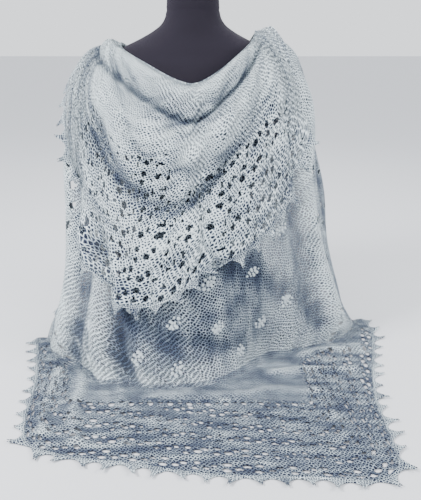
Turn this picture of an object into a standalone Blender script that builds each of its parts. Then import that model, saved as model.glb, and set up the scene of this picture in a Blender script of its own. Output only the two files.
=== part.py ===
"""A knitted lace shawl draped over a limbless dress form, its long end spread on the surface in front.

Metres, +Z up. The origin is the centre of the form's flat base, the front faces -Y and +X is the viewer's right.
The cloth is described by lines round the form: an angle in degrees from the front (minus is the viewer's left)
and a row number that grows from the neckline fold down to the table.
"""
import math
from bisect import bisect_right
from collections import namedtuple

import bmesh
import bpy
from mathutils import Vector

WALL = 0.002  # thickness of the cloth
SEAM = 0.0007  # gap between two stretches of cloth
POINT_PITCH = 0.042  # one point of the edging to the next
POINT_LENGTH = 0.024  # how far a point reaches from the sewn edge
VALLEY_LENGTH = 0.005  # how far the edging reaches between two points
EDGING_LEAST_STEP = 0.0025  # two places of the edging are no nearer than this
EYELET_BAR = 0.006  # cloth left round an eyelet inside its cell
EYELET_LEAST = 0.0045  # a cell whose eyelet would be smaller stays whole
FORM_SIDES = 28
DRAPE_DIVISIONS = 20
FRONT_COLUMNS = 18
SIDE_COLUMNS = 11
FLAP_DIVISIONS = 15
FLAP_COLUMNS = 42
FLAP_CROWDING = 1.25  # the flap's divisions lie closer together near the fold
FLAP_EYELET_ROWS = (10, 11, 13)
TABLE_COLUMNS = 60
BORDER_ROWS = 8
MIDDLE_ROWS = 2

# The dress form, from its flat base up to the flat top of its neck.
FormRow = namedtuple("FormRow", "height half_width front back")
FORM = (
    FormRow(0.000, 0.170, 0.114, 0.120),
    FormRow(0.060, 0.184, 0.126, 0.132),
    FormRow(0.120, 0.180, 0.122, 0.128),
    FormRow(0.200, 0.150, 0.102, 0.104),
    FormRow(0.285, 0.124, 0.088, 0.086),
    FormRow(0.360, 0.135, 0.102, 0.092),
    FormRow(0.430, 0.148, 0.124, 0.098),
    FormRow(0.480, 0.160, 0.128, 0.104),
    FormRow(0.530, 0.174, 0.115, 0.106),
    FormRow(0.575, 0.186, 0.097, 0.100),
    FormRow(0.605, 0.184, 0.084, 0.085),
    FormRow(0.625, 0.167, 0.074, 0.073),
    FormRow(0.640, 0.146, 0.068, 0.065),
    FormRow(0.655, 0.114, 0.062, 0.060),
    FormRow(0.670, 0.086, 0.058, 0.057),
    FormRow(0.685, 0.066, 0.056, 0.055),
    FormRow(0.705, 0.056, 0.054, 0.055),
    FormRow(0.780, 0.052, 0.053, 0.053),
)

# The under layer: radius on seven spokes round the form, heights on four of them, and the angles of its side edges.
SPOKES = (-135, -90, -45, 0, 45, 90, 135)
DrapeRow = namedtuple(
    "DrapeRow",
    "back_left left front_left front front_right right back_right "
    "z_left z_front z_right z_back end_left end_right",
)
DRAPE = (
    DrapeRow(.120, .150, .122, .122, .115, .128, .115, .644, .572, .668, .585, 142, 140),
    DrapeRow(.138, .186, .145, .136, .138, .165, .135, .632, .545, .657, .560, 138, 136),
    DrapeRow(.150, .222, .170, .148, .160, .205, .150, .602, .500, .630, .530, 132, 130),
    DrapeRow(.165, .246, .193, .158, .180, .234, .165, .552, .452, .585, .490, 120, 118),
    DrapeRow(.180, .268, .210, .163, .193, .254, .180, .490, .400, .520, .450, 107, 110),
    DrapeRow(.190, .280, .222, .170, .202, .270, .190, .400, .340, .420, .400, 97, 105),
    DrapeRow(.200, .284, .235, .188, .208, .287, .200, .300, .270, .310, .300, 95, 97),
    DrapeRow(.210, .290, .252, .212, .212, .314, .210, .200, .190, .200, .200, 104, 106),
    DrapeRow(.225, .305, .280, .240, .212, .342, .225, .110, .110, .110, .110, 102, 107),
    DrapeRow(.240, .330, .304, .266, .214, .364, .245, .040, .040, .040, .040, 92, 102),
    DrapeRow(.250, .348, .316, .284, .218, .380, .260, .003, .003, .003, .003, 78, 94),
)
LAST_ROW = len(DRAPE) - 1
FOLD_ROUNDING = 9  # degrees over which the low point of the neckline is rounded
LEFT_SEAM = -54  # angle between the left side and the front drop
RIGHT_SEAM = 60  # angle between the front drop and the right side

# Soft folds that run down the cloth: the angle at the top row and at the bottom row, in degrees.
Pleat = namedtuple("Pleat", "top_row bottom_row top_angle bottom_angle width depth")
DRAPE_PLEATS = (
    Pleat(4.0, 9.0, -86, -80, 5, -0.007),
    Pleat(4.6, 9.6, -74, -66, 5, 0.009),
    Pleat(5.6, 9.4, -63, -56, 4, -0.007),
    Pleat(6.6, 9.8, -50, -34, 5, 0.011),
    Pleat(6.8, 9.4, -41, -25, 4, -0.006),
    Pleat(1.2, 4.4, 90, 73, 8, 0.012),
    Pleat(4.2, 9.0, 66, 78, 4, 0.010),
    Pleat(3.6, 8.6, 57, 69, 4, -0.008),
    Pleat(1.6, 8.8, 84, 90, 5, -0.006),
)
FLAP_PLEATS = (
    Pleat(0.9, 3.8, -88, -52, 7, -0.010),
    Pleat(0.6, 3.4, -76, -42, 6, 0.008),
    Pleat(0.8, 4.2, 60, 54, 6, 0.008),
    Pleat(3.6, 7.4, -52, -46, 4, -0.006),
)

# Cowl swags that hang across the front, from one shoulder through a low point to the other.
Swag = namedtuple("Swag", "start_angle start_row low_angle low_row end_angle end_row width depth")
FLAP_SWAGS = (
    Swag(-80, 0.55, -6, 0.95, 60, 0.40, 0.42, 0.012),
    Swag(-84, 1.15, -4, 1.95, 64, 0.80, 0.36, -0.014),
    Swag(-70, 2.30, -6, 3.10, 50, 1.70, 0.60, 0.013),
    Swag(-60, 3.60, -18, 5.20, 30, 3.60, 0.45, -0.013),
    Swag(-54, 4.80, -22, 6.10, 30, 4.90, 0.60, 0.009),
)
DRAPE_SWAGS = (Swag(4, 6.0, 30, 6.9, 62, 7.9, 0.35, -0.007),)
PLEAT_FADE = 0.8  # rows over which a pleat dies away past each end
SWAG_CURVE = 1.5  # 1 would make a swag a straight V, 2 a round bow
SWAG_REACH = 1.25  # share of the way from the low point to an end where a swag has died away
SWAG_FADE = 0.5

# The turned-down flap: each row is a line of cloth from the neckline fold to the lower edge.
FlapLine = namedtuple("FlapLine", "fold_angle edge_angle edge_row")
FLAP = (
    FlapLine(-140, -138, 3.0),
    FlapLine(-122, -115, 2.8),
    FlapLine(-108, -98, 2.7),
    FlapLine(-100, -87, 2.8),
    FlapLine(-90, -74, 3.6),
    FlapLine(-78, -64, 5.0),
    FlapLine(-68, -60, 6.0),
    FlapLine(-58, -53, 6.5),
    FlapLine(-49, -43, 7.1),
    FlapLine(-38, -33, 7.45),
    FlapLine(-24, -20, 7.45),
    FlapLine(-13, -11, 7.25),
    FlapLine(-2, 0, 6.9),
    FlapLine(7, 8, 6.5),
    FlapLine(18, 20, 6.4),
    FlapLine(28, 30, 6.25),
    FlapLine(38, 41, 6.0),
    FlapLine(47, 50, 5.65),
    FlapLine(54, 58, 5.3),
    FlapLine(62, 64, 4.6),
    FlapLine(68, 67, 3.5),
    FlapLine(74, 70, 2.3),
    FlapLine(82, 77, 1.5),
    FlapLine(87, 83, 1.0),
    FlapLine(90, 88, 0.7),
)
FLAP_POINTED_TO = 19  # the edging ends at this line, where the flap tucks under the right shoulder's fold
FLAP_LIFT_AT_FOLD = 0.0028  # middle of the flap's wall over the middle of the under layer's
FLAP_LIFT = 0.016
FLAP_LEAST_LIFT = 0.006  # a fold brings the flap no nearer to the under layer than this
FLAP_EDGE_LIFT = 0.005  # what the lower edge stands off beside that
FLAP_EDGE_FROM = 0.75  # share of the way down where the edge begins to stand off
FLAP_FULL_LIFT_AT = 0.6  # row where the flap stands off fully

# The end on the table: its edge from the far left round the two near corners to the far right, the angle
# of the under layer's foot that each place is drawn from, and the width of the lace border there.
TableStation = namedtuple("TableStation", "x y foot_angle border")
TABLE = (
    TableStation(-0.360, -0.078, -77, 0.012),
    TableStation(-0.347, -0.130, -72, 0.030),
    TableStation(-0.327, -0.210, -65, 0.060),
    TableStation(-0.310, -0.310, -57, 0.110),
    TableStation(-0.302, -0.400, -49, 0.160),
    TableStation(-0.276, -0.474, -42, 0.150),
    TableStation(-0.208, -0.506, -32, 0.170),
    TableStation(-0.100, -0.526, -18, 0.190),
    TableStation(0.000, -0.545, -4, 0.210),
    TableStation(0.100, -0.557, 9, 0.225),
    TableStation(0.200, -0.560, 21, 0.237),
    TableStation(0.290, -0.568, 31, 0.254),
    TableStation(0.340, -0.540, 38, 0.240),
    TableStation(0.349, -0.457, 45, 0.230),
    TableStation(0.352, -0.350, 53, 0.205),
    TableStation(0.368, -0.250, 62, 0.145),
    TableStation(0.392, -0.150, 73, 0.070),
    TableStation(0.414, -0.050, 85, 0.030),
    TableStation(0.406, 0.024, 92, 0.014),
)
EDGING_FROM_TABLE = 0.03  # the side edges' points end this high over the table
FOOT_OVERLAP = 0.006  # how far the cloth on the table runs in under the foot of the under layer

# Where the edging stands out from the form's sides: the row, and how far the cloth flares there.
Flare = namedtuple("Flare", "row rows_wide amount")
LEFT_FLARE = Flare(5.3, 1.1, 0.016)
RIGHT_FLARE = Flare(5.9, 0.8, 0.016)
FLARE_FROM = 78  # angle from the front where the flare begins
FLARE_OVER = 18

CLOTH_COLOUR = (0.50, 0.58, 0.64, 1.0)
EDGING_COLOUR = (0.58, 0.66, 0.71, 1.0)
FORM_COLOUR = (0.012, 0.009, 0.018, 1.0)


def clear_scene():
    for item in list(bpy.data.objects):
        bpy.data.objects.remove(item)


def along_curve(stations, values, at):
    """The value at one place of a smooth curve through the stations, run on straight past its ends."""
    last = len(stations) - 1
    i = min(max(bisect_right(stations, at) - 1, 0), last - 1)
    span = stations[i + 1] - stations[i]
    share = (at - stations[i]) / span
    slopes = []
    for k in (i, i + 1):
        low = max(k - 1, 0)
        high = min(k + 1, last)
        slopes.append((values[high] - values[low]) / (stations[high] - stations[low]))
    if share < 0:
        return values[i] + slopes[0] * share * span
    if share > 1:
        return values[i + 1] + slopes[1] * (share - 1) * span
    rise = values[i + 1] - values[i]
    start_bend = slopes[0] * span - rise
    end_bend = rise - slopes[1] * span
    bend = (1 - share) * start_bend + share * end_bend
    return values[i] + share * rise + share * (1 - share) * bend


def column(table, name, at):
    """A named column of a table, read smoothly at a fractional row number."""
    return along_curve(tuple(range(len(table))), [getattr(row, name) for row in table], at)


def ease(share):
    share = min(max(share, 0.0), 1.0)
    return share * share * (3 - 2 * share)


def bump(at, middle, width):
    return math.exp(-(((at - middle) / width) ** 2))


def window(at, start, end, soft):
    """1 between start and end, falling softly to 0 outside."""
    return ease((at - start + soft) / soft) * ease((end + soft - at) / soft)


def pleat_relief(pleats, angle, row):
    """How far the folds that run down the cloth move a point outwards."""
    total = 0.0
    for pleat in pleats:
        share = (row - pleat.top_row) / (pleat.bottom_row - pleat.top_row)
        middle = pleat.top_angle + (pleat.bottom_angle - pleat.top_angle) * share
        lasting = window(row, pleat.top_row, pleat.bottom_row, PLEAT_FADE)
        total += pleat.depth * lasting * bump(angle, middle, pleat.width)
    return total


def swag_relief(swags, angle, row):
    """How far the swags that hang across the cloth move a point outwards."""
    total = 0.0
    for swag in swags:
        if angle < swag.low_angle:
            share = (swag.low_angle - angle) / (swag.low_angle - swag.start_angle)
            middle = swag.low_row + (swag.start_row - swag.low_row) * share**SWAG_CURVE
        else:
            share = (angle - swag.low_angle) / (swag.end_angle - swag.low_angle)
            middle = swag.low_row + (swag.end_row - swag.low_row) * share**SWAG_CURVE
        lasting = ease((SWAG_REACH - share) / SWAG_FADE)
        total += swag.depth * lasting * bump(row, middle, swag.width)
    return total


def flare_relief(angle, row):
    flare = LEFT_FLARE if angle < 0 else RIGHT_FLARE
    outward = ease((abs(angle) - FLARE_FROM) / FLARE_OVER)
    return flare.amount * outward * bump(row, flare.row, flare.rows_wide)


def drape_height(angle, row):
    front = column(DRAPE, "z_front", row)
    side = column(DRAPE, "z_left" if angle < 0 else "z_right", row)
    turn = abs(angle)
    if turn <= 90:
        rise = math.hypot(turn, FOLD_ROUNDING) - FOLD_ROUNDING
        return front + (side - front) * rise / (math.hypot(90, FOLD_ROUNDING) - FOLD_ROUNDING)
    return side + (column(DRAPE, "z_back", row) - side) * ease((turn - 90) / 60)


def drape_point(angle, row):
    """A point in the middle of the under layer's wall."""
    radii = [column(DRAPE, name, row) for name in DrapeRow._fields[: len(SPOKES)]]
    radius = along_curve(SPOKES, radii, angle)
    radius += pleat_relief(DRAPE_PLEATS, angle, row)
    radius += swag_relief(DRAPE_SWAGS, angle, row)
    radius += flare_relief(angle, row)
    turned = math.radians(angle)
    return Vector((radius * math.sin(turned), -radius * math.cos(turned), drape_height(angle, row)))


def drape_normal(angle, row):
    """The outward direction of the under layer."""
    across = drape_point(angle + 1, row) - drape_point(angle - 1, row)
    down = drape_point(angle, min(row + 0.05, LAST_ROW)) - drape_point(angle, max(row - 0.05, 0))
    return down.cross(across).normalized()


def flap_line(at):
    """The flap's line of cloth at a fractional row number of its table."""
    return FlapLine(*(column(FLAP, name, at) for name in FlapLine._fields))


def flap_point(at, share):
    """A point in the middle of the flap's wall, from the fold (share 0) to the lower edge (share 1)."""
    line = flap_line(at)
    angle = line.fold_angle + (line.edge_angle - line.fold_angle) * share
    row = max(line.edge_row, 0.0) * share
    lift = FLAP_LIFT_AT_FOLD + (FLAP_LIFT - FLAP_LIFT_AT_FOLD) * ease(row / FLAP_FULL_LIFT_AT)
    relief = pleat_relief(FLAP_PLEATS, angle, row) + swag_relief(FLAP_SWAGS, angle, row)
    least = min(lift, FLAP_LEAST_LIFT)
    lift = max(lift + relief * ease(row / FLAP_FULL_LIFT_AT), least)
    lift += FLAP_EDGE_LIFT * ease((share - FLAP_EDGE_FROM) / (1 - FLAP_EDGE_FROM))
    return drape_point(angle, row) + drape_normal(angle, row) * lift


def foot_point(angle, inward=0.0):
    """A place on the table under the foot of the under layer."""
    foot = drape_point(angle, LAST_ROW)
    flat = Vector((foot.x, foot.y, 0))
    flat -= flat.normalized() * inward
    return Vector((flat.x, flat.y, WALL / 2))


def table_edge_point(at):
    return Vector((column(TABLE, "x", at), column(TABLE, "y", at), WALL / 2))


def table_point(at, share):
    """A point of the cloth on the table, from its edge (share 0) to the foot of the under layer (share 1)."""
    edge = table_edge_point(at)
    return edge + (foot_point(column(TABLE, "foot_angle", at), FOOT_OVERLAP) - edge) * share


def border_share(at):
    """The part of the way to the foot that the lace border takes."""
    span = (table_point(at, 1) - table_point(at, 0)).length
    return min(column(TABLE, "border", at) / span, 0.8)


def even_stations(place, start, end, count, samples=400):
    """Parameters that lie evenly along a curve."""
    steps = [start + (end - start) * k / samples for k in range(samples + 1)]
    lengths = [0.0]
    for a, b in zip(steps, steps[1:]):
        lengths.append(lengths[-1] + (place(b) - place(a)).length)
    stations = []
    for k in range(count + 1):
        target = lengths[-1] * k / count
        i = min(bisect_right(lengths, target), samples) - 1
        share = (target - lengths[i]) / (lengths[i + 1] - lengths[i])
        stations.append(steps[i] + (steps[i + 1] - steps[i]) * share)
    return stations


def material(name, colour, roughness):
    made = bpy.data.materials.new(name)
    made.use_nodes = True
    shader = made.node_tree.nodes["Principled BSDF"]
    shader.inputs["Base Color"].default_value = colour
    shader.inputs["Roughness"].default_value = roughness
    shader.inputs["Metallic"].default_value = 0.0
    return made


def add_object(name, mesh, collection, finish):
    made = bpy.data.objects.new(name, mesh)
    collection.objects.link(made)
    mesh.materials.append(finish)
    mesh.shade_smooth()
    return made


def grid_mesh(rows):
    """An open surface through rows of points, and its faces by row and column."""
    mesh = bmesh.new()
    grid = [[mesh.verts.new(point) for point in row] for row in rows]
    cells = {}
    for i, (upper, lower) in enumerate(zip(grid, grid[1:])):
        for j in range(len(upper) - 1):
            corners = (upper[j], lower[j], lower[j + 1], upper[j + 1])
            cells[i, j] = mesh.faces.new(corners)
    mesh.normal_update()
    return mesh, cells


def cut_eyelets(mesh, cells, chosen):
    """Opens an eyelet in the middle of each chosen cell that is large enough."""
    faces = []
    for key in chosen:
        face = cells[key]
        narrowest = face.calc_area() / max(edge.calc_length() for edge in face.edges)
        if narrowest > 2 * EYELET_BAR + EYELET_LEAST:
            faces.append(face)
    bmesh.ops.inset_individual(mesh, faces=faces, thickness=EYELET_BAR, depth=0, use_even_offset=True)
    bmesh.ops.delete(mesh, geom=faces, context="FACES")


def alternate_cells(rows, columns):
    """Every other cell of some rows, as on a chessboard."""
    return [(i, j) for i in rows for j in range(columns) if (i + j) % 2 == 0]


def cloth(name, rows, collection, finish, eyelets=()):
    """A stretch of cloth: an open surface through rows of points, given its wall by Solidify."""
    work, cells = grid_mesh(rows)
    if eyelets:
        cut_eyelets(work, cells, eyelets)
    mesh = bpy.data.meshes.new(name)
    work.to_mesh(mesh)
    work.free()
    made = add_object(name, mesh, collection, finish)
    wall = made.modifiers.new("wall", "SOLIDIFY")
    wall.thickness = WALL
    wall.offset = 0
    return made


def edging_reach(phase):
    """How far the edging reaches at a place between two valleys (phase 0 and 1), with its tip half way."""
    rise = 1 - abs(2 * (phase % 1) - 1)
    return VALLEY_LENGTH + (POINT_LENGTH - VALLEY_LENGTH) * rise


def edging_rows(edge, inside):
    """Inner and outer line of the pointed edging along a sewn edge; inside is the cloth's next line of points."""
    outward = outward_of_edge(edge, inside)
    lengths = [0.0]
    for a, b in zip(edge, edge[1:]):
        lengths.append(lengths[-1] + (b - a).length)
    pitch = lengths[-1] / max(1, round(lengths[-1] / POINT_PITCH))
    quarter = pitch / 4
    places = list(lengths)
    for k in range(round(lengths[-1] / quarter)):
        if min(abs(k * quarter - length) for length in lengths) > EDGING_LEAST_STEP:
            places.append(k * quarter)
    inner = []
    outer = []
    for at in sorted(places):
        i = min(max(bisect_right(lengths, at) - 1, 0), len(lengths) - 2)
        share = (at - lengths[i]) / (lengths[i + 1] - lengths[i])
        place = edge[i].lerp(edge[i + 1], share)
        direction = outward[i].lerp(outward[i + 1], share).normalized()
        nearest = round(at / quarter) * quarter
        if abs(nearest - at) <= EDGING_LEAST_STEP:
            at = nearest
        inner.append(place + direction * SEAM)
        outer.append(place + direction * edging_reach(at / pitch))
    return inner, outer


def dress_form(collection, finish):
    """The limbless form: a closed loft of oval sections."""
    mesh = bmesh.new()
    rings = []
    for row in FORM:
        ring = []
        for k in range(FORM_SIDES):
            turn = math.tau * k / FORM_SIDES
            depth = row.front if math.cos(turn) > 0 else row.back
            ring.append(mesh.verts.new((row.half_width * math.sin(turn), -depth * math.cos(turn), row.height)))
        rings.append(ring)
    for lower, upper in zip(rings, rings[1:]):
        for k in range(FORM_SIDES):
            after = (k + 1) % FORM_SIDES
            mesh.faces.new((lower[k], lower[after], upper[after], upper[k]))
    mesh.faces.new(list(reversed(rings[0])))
    mesh.faces.new(rings[-1])
    built = bpy.data.meshes.new("dress_form")
    mesh.to_mesh(built)
    mesh.free()
    made = add_object("dress_form", built, collection, finish)
    built.set_sharp_from_angle(angle=math.radians(50))
    return made


def spread(start, end, count):
    return [start + (end - start) * k / count for k in range(count + 1)]


def side_angle(row, side):
    """The angle of the under layer's side edge; side is -1 for the left and 1 for the right."""
    return side * column(DRAPE, "end_left" if side < 0 else "end_right", row)


def drape_rows(from_angle, to_angle, columns, rows):
    """Rows of points of the under layer between two angles, each given as a function of the row."""
    grid = []
    for row in spread(0, LAST_ROW, rows):
        angles = spread(from_angle(row), to_angle(row), columns)
        grid.append([drape_point(angle, row) for angle in angles])
    return grid


def seam_angle(angle, row, side):
    """An angle half a seam's gap to one side of a seam that runs down the cloth."""
    radius = drape_point(angle, row).xy.length
    return angle + side * math.degrees(SEAM / 2 / radius)


def front_drop(collection, finish):
    grid = drape_rows(
        lambda row: seam_angle(LEFT_SEAM, row, 1),
        lambda row: seam_angle(RIGHT_SEAM, row, -1),
        FRONT_COLUMNS,
        DRAPE_DIVISIONS,
    )
    return cloth("front_drop", grid, collection, finish)


def left_side(collection, finish):
    grid = drape_rows(
        lambda row: side_angle(row, -1),
        lambda row: seam_angle(LEFT_SEAM, row, -1),
        SIDE_COLUMNS,
        DRAPE_DIVISIONS,
    )
    cloth("left_side", grid, collection, finish)
    free = [row for row in grid if row[0].z > EDGING_FROM_TABLE]
    return [row[0] for row in free], [row[1] for row in free]


def right_side(collection, finish):
    grid = drape_rows(
        lambda row: seam_angle(RIGHT_SEAM, row, 1),
        lambda row: side_angle(row, 1),
        SIDE_COLUMNS,
        DRAPE_DIVISIONS,
    )
    cloth("right_side", grid, collection, finish)
    free = [row for row in grid if row[-1].z > EDGING_FROM_TABLE]
    return [row[-1] for row in free], [row[-2] for row in free]


def flap(collection, finish):
    stations = even_stations(lambda at: flap_point(at, 1), 0, len(FLAP) - 1, FLAP_COLUMNS)
    shares = [share**FLAP_CROWDING for share in spread(0, 1, FLAP_DIVISIONS)]
    grid = [[flap_point(at, share) for at in stations] for share in shares]
    cloth("flap", grid, collection, finish, alternate_cells(FLAP_EYELET_ROWS, len(stations) - 1))
    pointed = [k for k, at in enumerate(stations) if at <= FLAP_POINTED_TO]
    return [grid[-1][k] for k in pointed], [grid[-2][k] for k in pointed]


def table_cloth(collection, finish):
    """The lace border on the table, with its eyelets, and the stretch of the cloth's middle behind it."""
    stations = even_stations(table_edge_point, 0, len(TABLE) - 1, TABLE_COLUMNS)
    border = []
    for share in spread(0, 1, BORDER_ROWS):
        border.append([table_point(at, border_share(at) * share) for at in stations])
    eyelets = alternate_cells(range(BORDER_ROWS), TABLE_COLUMNS)
    cloth("table_border", border, collection, finish, eyelets)
    starts = []
    for at in stations:
        span = (table_point(at, 1) - table_point(at, 0)).length
        starts.append(border_share(at) + SEAM / span)
    middle = []
    for share in spread(0, 1, MIDDLE_ROWS):
        middle.append([table_point(at, start + (1 - start) * share) for at, start in zip(stations, starts)])
    cloth("table_middle", middle, collection, finish)
    return border[0], border[1]


def outward_of_edge(edge, inside):
    """Directions out of the cloth at each place of an edge, level with the cloth and square to the edge."""
    directions = []
    for i, place in enumerate(edge):
        along = edge[min(i + 1, len(edge) - 1)] - edge[max(i - 1, 0)]
        out = place - inside[i]
        out -= along * (out.dot(along) / along.length_squared)
        directions.append(out.normalized())
    return directions


def edgings(collection, finish, sewn_edges):
    """The pointed edging, one solid for each edge it is sewn to."""
    for name, (edge, inside) in sewn_edges.items():
        inner, outer = edging_rows(edge, inside)
        cloth(name, [inner, outer], collection, finish)


def build():
    clear_scene()
    shawl = bpy.data.collections.new("lace_shawl")
    bpy.context.scene.collection.children.link(shawl)
    lace = material("lace_knit", CLOTH_COLOUR, 0.9)
    points = material("edging_knit", EDGING_COLOUR, 0.9)
    jersey = material("form_jersey", FORM_COLOUR, 0.85)
    dress_form(shawl, jersey)
    front_drop(shawl, lace)
    sewn_edges = {
        "left_edging": left_side(shawl, lace),
        "right_edging": right_side(shawl, lace),
        "flap_edging": flap(shawl, lace),
        "table_edging": table_cloth(shawl, lace),
    }
    edgings(shawl, points, sewn_edges)


build()
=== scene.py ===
"""The looks of a hand-knitted lace shawl, turned down over a jersey-covered dress form."""
import math

import bmesh
import bpy
import numpy as np
from mathutils import Matrix, Vector


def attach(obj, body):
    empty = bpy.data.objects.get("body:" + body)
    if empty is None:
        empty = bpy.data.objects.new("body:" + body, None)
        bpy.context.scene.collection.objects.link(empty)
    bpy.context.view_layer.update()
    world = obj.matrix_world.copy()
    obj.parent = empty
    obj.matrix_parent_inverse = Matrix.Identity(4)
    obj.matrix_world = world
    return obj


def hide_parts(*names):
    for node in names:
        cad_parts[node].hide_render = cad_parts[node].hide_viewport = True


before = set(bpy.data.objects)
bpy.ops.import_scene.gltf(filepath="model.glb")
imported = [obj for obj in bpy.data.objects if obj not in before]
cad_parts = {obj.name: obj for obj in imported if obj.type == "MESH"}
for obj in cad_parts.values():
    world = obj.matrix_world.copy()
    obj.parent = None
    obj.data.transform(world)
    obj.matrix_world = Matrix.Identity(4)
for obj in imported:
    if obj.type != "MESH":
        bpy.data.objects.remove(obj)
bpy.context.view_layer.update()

# The surface that the form stands on and the light round it.
# A wide pale floor, whose far edge shows as a level line behind the form, one soft lamp high on the left,
# a weaker one on the right, a faint one behind, and a pale surround.
FLOOR_SIDE = 30.0
FLOOR_COLOUR = (0.66, 0.67, 0.70, 1.0)
SURROUND_COLOUR = (0.93, 0.96, 1.0, 1.0)
CAMERA_PLACE = (0.036, -1.40, 0.68)
CAMERA_DOWN = 19.3
CAMERA_LENS = 45.86
LAMPS = (
    ("key", (-1.5, -1.0, 1.7), 0.6, 84.0),
    ("fill", (1.7, -0.8, 1.4), 0.8, 38.0),
    ("back", (0.3, 1.6, 1.7), 1.2, 12.0),
)


def plain_material(name, colour, roughness):
    made = bpy.data.materials.new(name)
    made.use_nodes = True
    shader = made.node_tree.nodes["Principled BSDF"]
    shader.inputs["Base Color"].default_value = colour
    shader.inputs["Roughness"].default_value = roughness
    return made


ground = bmesh.new()
bmesh.ops.create_grid(ground, x_segments=1, y_segments=1, size=FLOOR_SIDE / 2)
bmesh.ops.translate(ground, verts=ground.verts, vec=(0, 0, -0.0006))
ground_mesh = bpy.data.meshes.new("floor")
ground.to_mesh(ground_mesh)
floor = bpy.data.objects.new("floor", ground_mesh)
bpy.context.collection.objects.link(floor)
ground_mesh.materials.append(plain_material("pale_floor", FLOOR_COLOUR, 0.8))

surround = bpy.data.worlds.new("surround")
surround.use_nodes = True
surround.node_tree.nodes["Background"].inputs["Color"].default_value = SURROUND_COLOUR
surround.node_tree.nodes["Background"].inputs["Strength"].default_value = 1.6
bpy.context.scene.world = surround

for lamp_name, place, side, power in LAMPS:
    lamp_data = bpy.data.lights.new(lamp_name, "AREA")
    lamp_data.size = side
    lamp_data.energy = power
    lamp = bpy.data.objects.new(lamp_name, lamp_data)
    lamp.location = place
    aim = np.array((0.0, -0.1, 0.35)) - np.array(place)
    lamp.rotation_euler = (
        math.atan2(math.hypot(aim[0], aim[1]), -aim[2]),
        0,
        math.atan2(-aim[0], aim[1]),
    )
    bpy.context.collection.objects.link(lamp)

camera_data = bpy.data.cameras.new("camera")
camera_data.lens = CAMERA_LENS
camera = bpy.data.objects.new("camera", camera_data)
camera.location = CAMERA_PLACE
camera.rotation_euler = (math.radians(90 - CAMERA_DOWN), 0, 0)
bpy.context.collection.objects.link(camera)
bpy.context.scene.camera = camera

# The dress form: a padded limbless form covered in black jersey.
# It is a smooth closed loft of oval sections, with a seam round the foot of its neck and a flat
# covered cap.
FORM_SECTIONS = (
    # height, half width, front, back
    (0.000, 0.170, 0.114, 0.120),
    (0.060, 0.184, 0.126, 0.132),
    (0.120, 0.180, 0.122, 0.128),
    (0.200, 0.150, 0.102, 0.104),
    (0.285, 0.124, 0.088, 0.086),
    (0.360, 0.135, 0.102, 0.092),
    (0.430, 0.148, 0.124, 0.098),
    (0.480, 0.160, 0.128, 0.104),
    (0.530, 0.174, 0.115, 0.106),
    (0.575, 0.186, 0.097, 0.100),
    (0.605, 0.184, 0.084, 0.085),
    (0.625, 0.167, 0.074, 0.073),
    (0.640, 0.146, 0.068, 0.065),
    (0.655, 0.114, 0.062, 0.060),
    (0.670, 0.086, 0.058, 0.057),
    (0.685, 0.066, 0.056, 0.055),
    (0.705, 0.056, 0.054, 0.055),
    (0.780, 0.052, 0.053, 0.053),
)
FORM_SIDES = 96
FORM_RINGS = 150
NECK_SEAM_HEIGHT = 0.712
NECK_SEAM_DEPTH = 0.0012
NECK_SEAM_WIDTH = 0.0016
CAP_ROUNDING = 0.004
JERSEY_COLOUR = (0.0040, 0.0030, 0.0075, 1.0)
JERSEY_LIGHTER = (0.0120, 0.0085, 0.0180, 1.0)
JERSEY_RIB = 0.0011


def smooth(stations, values, at):
    """Values at places along a smooth curve through the stations, run on straight past its ends."""
    stations = np.asarray(stations, float)
    at = np.asarray(at, float)
    values = np.asarray(values, float)
    if values.ndim == 1:
        values = values[:, None]
    values = np.broadcast_to(values, (len(stations), len(at)))
    last = len(stations) - 1
    each = np.arange(len(at))
    i = np.clip(np.searchsorted(stations, at, side="right") - 1, 0, last - 1)
    span = stations[i + 1] - stations[i]
    share = (at - stations[i]) / span

    def slope(k):
        low = np.maximum(k - 1, 0)
        high = np.minimum(k + 1, last)
        return (values[high, each] - values[low, each]) / (stations[high] - stations[low])

    start = values[i, each]
    end = values[i + 1, each]
    start_bend = slope(i) * span - (end - start)
    end_bend = (end - start) - slope(i + 1) * span
    inside = start + share * (end - start)
    inside += share * (1 - share) * ((1 - share) * start_bend + share * end_bend)
    before = start + slope(i) * share * span
    after = end + slope(i + 1) * (share - 1) * span
    return np.where(share < 0, before, np.where(share > 1, after, inside))


def unit_grid(name, columns, rows):
    """A flat grid of one unit each way, and where its corners lie from 0 to 1."""
    sheet = bmesh.new()
    bmesh.ops.create_grid(sheet, x_segments=columns, y_segments=rows, size=0.5)
    mesh = bpy.data.meshes.new(name)
    sheet.to_mesh(mesh)
    sheet.free()
    places = np.empty(len(mesh.vertices) * 3)
    mesh.vertices.foreach_get("co", places)
    places = places.reshape(-1, 3)
    return mesh, places[:, 0] + 0.5, places[:, 1] + 0.5


def moved(mesh, points):
    mesh.vertices.foreach_set("co", np.ascontiguousarray(points, float).ravel())
    mesh.update()


def shown(name, mesh, finish):
    piece = bpy.data.objects.new(name, mesh)
    bpy.context.collection.objects.link(piece)
    mesh.materials.append(finish)
    mesh.shade_smooth()
    return piece


def form_surface(turn, height):
    sections = np.array(FORM_SECTIONS)
    half_width, front, back = (smooth(sections[:, 0], sections[:, k], height) for k in (1, 2, 3))
    seam = NECK_SEAM_DEPTH * np.exp(-(((height - NECK_SEAM_HEIGHT) / NECK_SEAM_WIDTH) ** 2))
    top = sections[-1, 0]
    over = np.clip((height - (top - CAP_ROUNDING)) / CAP_ROUNDING, 0, 1)
    shrink = CAP_ROUNDING * (1 - np.sqrt(1 - over**2)) + seam
    depth = np.where(np.cos(turn) > 0, front, back) - shrink
    return np.stack(
        [(half_width - shrink) * np.sin(turn), -depth * np.cos(turn), height], axis=1
    )


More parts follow.
